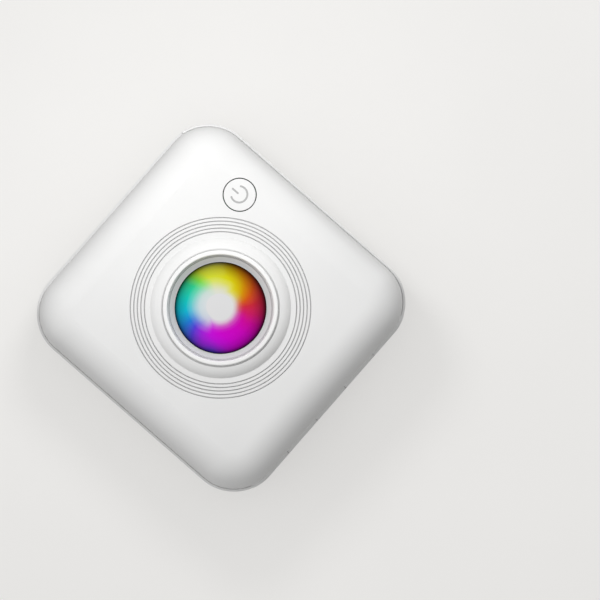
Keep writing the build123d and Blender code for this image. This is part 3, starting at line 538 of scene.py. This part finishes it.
def ribbon(points, half_width):
    """Left and right edge points of a flat stroke along a line of points."""
    edges = []
    for index, point in enumerate(points):
        before, after = points[max(index - 1, 0)], points[min(index + 1, len(points) - 1)]
        way = (after - before).normalized()
        aside = Vector((-way.y, way.x, 0)) * half_width
        edges.append((point + aside, point - aside))
    return edges


def cap(centre, corner):
    """The points between the two corners of a stroke's round end."""
    turns = [Matrix.Rotation(-pi * step / cap_steps, 3, "Z") for step in range(1, cap_steps)]
    return [centre + turn @ (corner - centre) for turn in turns]


def stroke(mesh, points, half_width, low_z, high_z):
    """A flat bar along points, closed on every side, with round ends."""
    edges = ribbon(points, half_width)
    left = [edge[0] for edge in edges]
    right = [edge[1] for edge in edges]
    outline = left + cap(points[-1], left[-1]) + right[::-1] + cap(points[0], right[0])
    top = [mesh.verts.new((p.x, p.y, high_z)) for p in outline]
    bottom = [mesh.verts.new((p.x, p.y, low_z)) for p in outline]
    for k in range(len(outline)):
        j = (k + 1) % len(outline)
        mesh.faces.new((top[k], top[j], bottom[j], bottom[k]))
    count = len(left)
    last = 2 * count + cap_steps - 2
    for ring, way in ((top, -1), (bottom, 1)):
        for k in range(count - 1):
            mesh.faces.new([ring[k], ring[k + 1], ring[last - 1 - k], ring[last - k]][::way])
        mesh.faces.new(ring[count - 1:count + cap_steps][::way])
        mesh.faces.new((ring[last:] + ring[:1])[::way])


def make_piece(name, mesh, look, body):
    """A finished piece that rides on a body."""
    bmesh.ops.recalc_face_normals(mesh, faces=mesh.faces)
    piece = solid(name, mesh, look)
    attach(piece, body)


symbol_shift = 0.2 * mm
symbol_sink, symbol_rise = 0.05 * mm, 0.015 * mm
half_stroke = 0.27 * mm
bar_start, bar_end = 0.5 * mm, 2.4 * mm
arc_radius = 2.33 * mm
arc_open = radians(60)
arc_steps = 48

symbol_centre = (button_low + button_high) / 2 + Vector((0, symbol_shift, 0))
symbol_centre.z = 0
arc_angles = [pi / 2 + arc_open + 2 * (pi - arc_open) * step / arc_steps for step in range(arc_steps + 1)]
arc_points = [symbol_centre + arc_radius * Vector((cos(angle), sin(angle), 0)) for angle in arc_angles]
bar_points = [symbol_centre + Vector((0, y, 0)) for y in (bar_start, (bar_start + bar_end) / 2, bar_end)]
symbol = bmesh.new()
for points in (arc_points, bar_points):
    stroke(symbol, points, half_stroke, button_high.z - symbol_sink, button_high.z + symbol_rise)
ink = Look("symbol_ink", Roughness=0.5)
ink.paint(ink.vary((0.43, 0.43, 0.43), amount=0.04, scale=900))
ink.relief(ink.noise(9000), depth=0.002 * mm)
make_piece("power_symbol", symbol, ink, "power_button")

# The leaf spring becomes an object of its own, with its own mesh, riding on the base in place of the CAD
# node
leaf = show("head_spring_leaf", nodes["head_spring"].data.copy())
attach(leaf, "base")
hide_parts("head_spring")
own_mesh(leaf)


# Floor, lamps, sky and camera

def lay_floor():
    """A pale matt desk: dim for the light that it throws back, and pale to the eye and in reflections."""
    look = Look("floor_pale", Roughness=0.9, Specular_IOR_Level=0.1)
    seen = look.seen()
    look.paint(look.mix(seen, floor_dim, look.vary(floor_pale, amount=0.01, scale=floor_patches)))
    look.feed("Emission Color", look.vary(backdrop, amount=0.004, scale=floor_patches))
    look.feed("Emission Strength", look.maths("MULTIPLY", seen, floor_glow))
    mesh = bmesh.new()
    corners = [Vector((x, y, 0)) * floor_half for x, y in ((-1, -1), (1, -1), (1, 1), (-1, 1))]
    mesh.faces.new([mesh.verts.new(corner) for corner in corners])
    floor = solid("floor", mesh, look)


def hang_lamp(name, direction, distance, size, power):
    """A round soft lamp that shines at the origin."""
    lamp = bpy.data.lights.new(name, "AREA")
    lamp.shape = "DISK"
    lamp.size = size
    lamp.energy = power
    hung = show(name, lamp)
    hung.location = direction * distance
    hung.rotation_mode = "QUATERNION"
    hung.rotation_quaternion = direction.to_track_quat("Z", "Y")
    hung.visible_camera = False


def light_sky():
    """A white sky that is brightest round one direction, behind an even backdrop for what is seen of it."""
    world = bpy.data.worlds.new("studio")
    world.use_nodes = True
    sky = Graph(world.node_tree)
    lit = sky.tree.nodes["Background"]
    lit.inputs["Color"].default_value = (1, 1, 1, 1)
    way = sky.add("TexCoord").outputs["Generated"]
    facing = sky.add("VectorMath", operation="DOT_PRODUCT", _0=way, _1=sky_direction).outputs["Value"]
    sky.fill(lit.inputs["Strength"], sky.span(facing, sky_edge, 1.0, sky_low, sky_high, "SMOOTHSTEP"))
    even = sky.add("Background", Color=(*backdrop, 1))
    choice = sky.add("MixShader", _0=sky.seen(), _1=lit.outputs[0], _2=even.outputs[0])
    sky.fill(sky.tree.nodes["World Output"].inputs["Surface"], choice.outputs[0])
    bpy.context.scene.world = world


def set_camera():
    """The photograph's view: straight down, and from so far off that it has hardly any perspective."""
    data = bpy.data.cameras.new("camera")
    data.sensor_width = sensor_width
    data.lens = sensor_width * camera_distance / photo_field
    data.clip_end = camera_reach
    camera = show("camera", data)
    camera.location = photo_centre + Vector((0, 0, rim_z + camera_distance))
    camera.rotation_euler = (0, 0, -photo_turn)
    bpy.context.scene.camera = camera


lay_floor()
hang_lamp("key", key_direction, key_distance, key_size, key_power)
hang_lamp("side", side_direction, side_distance, side_size, side_power)
light_sky()
set_camera()
bpy.context.scene.view_settings.view_transform = "Standard"
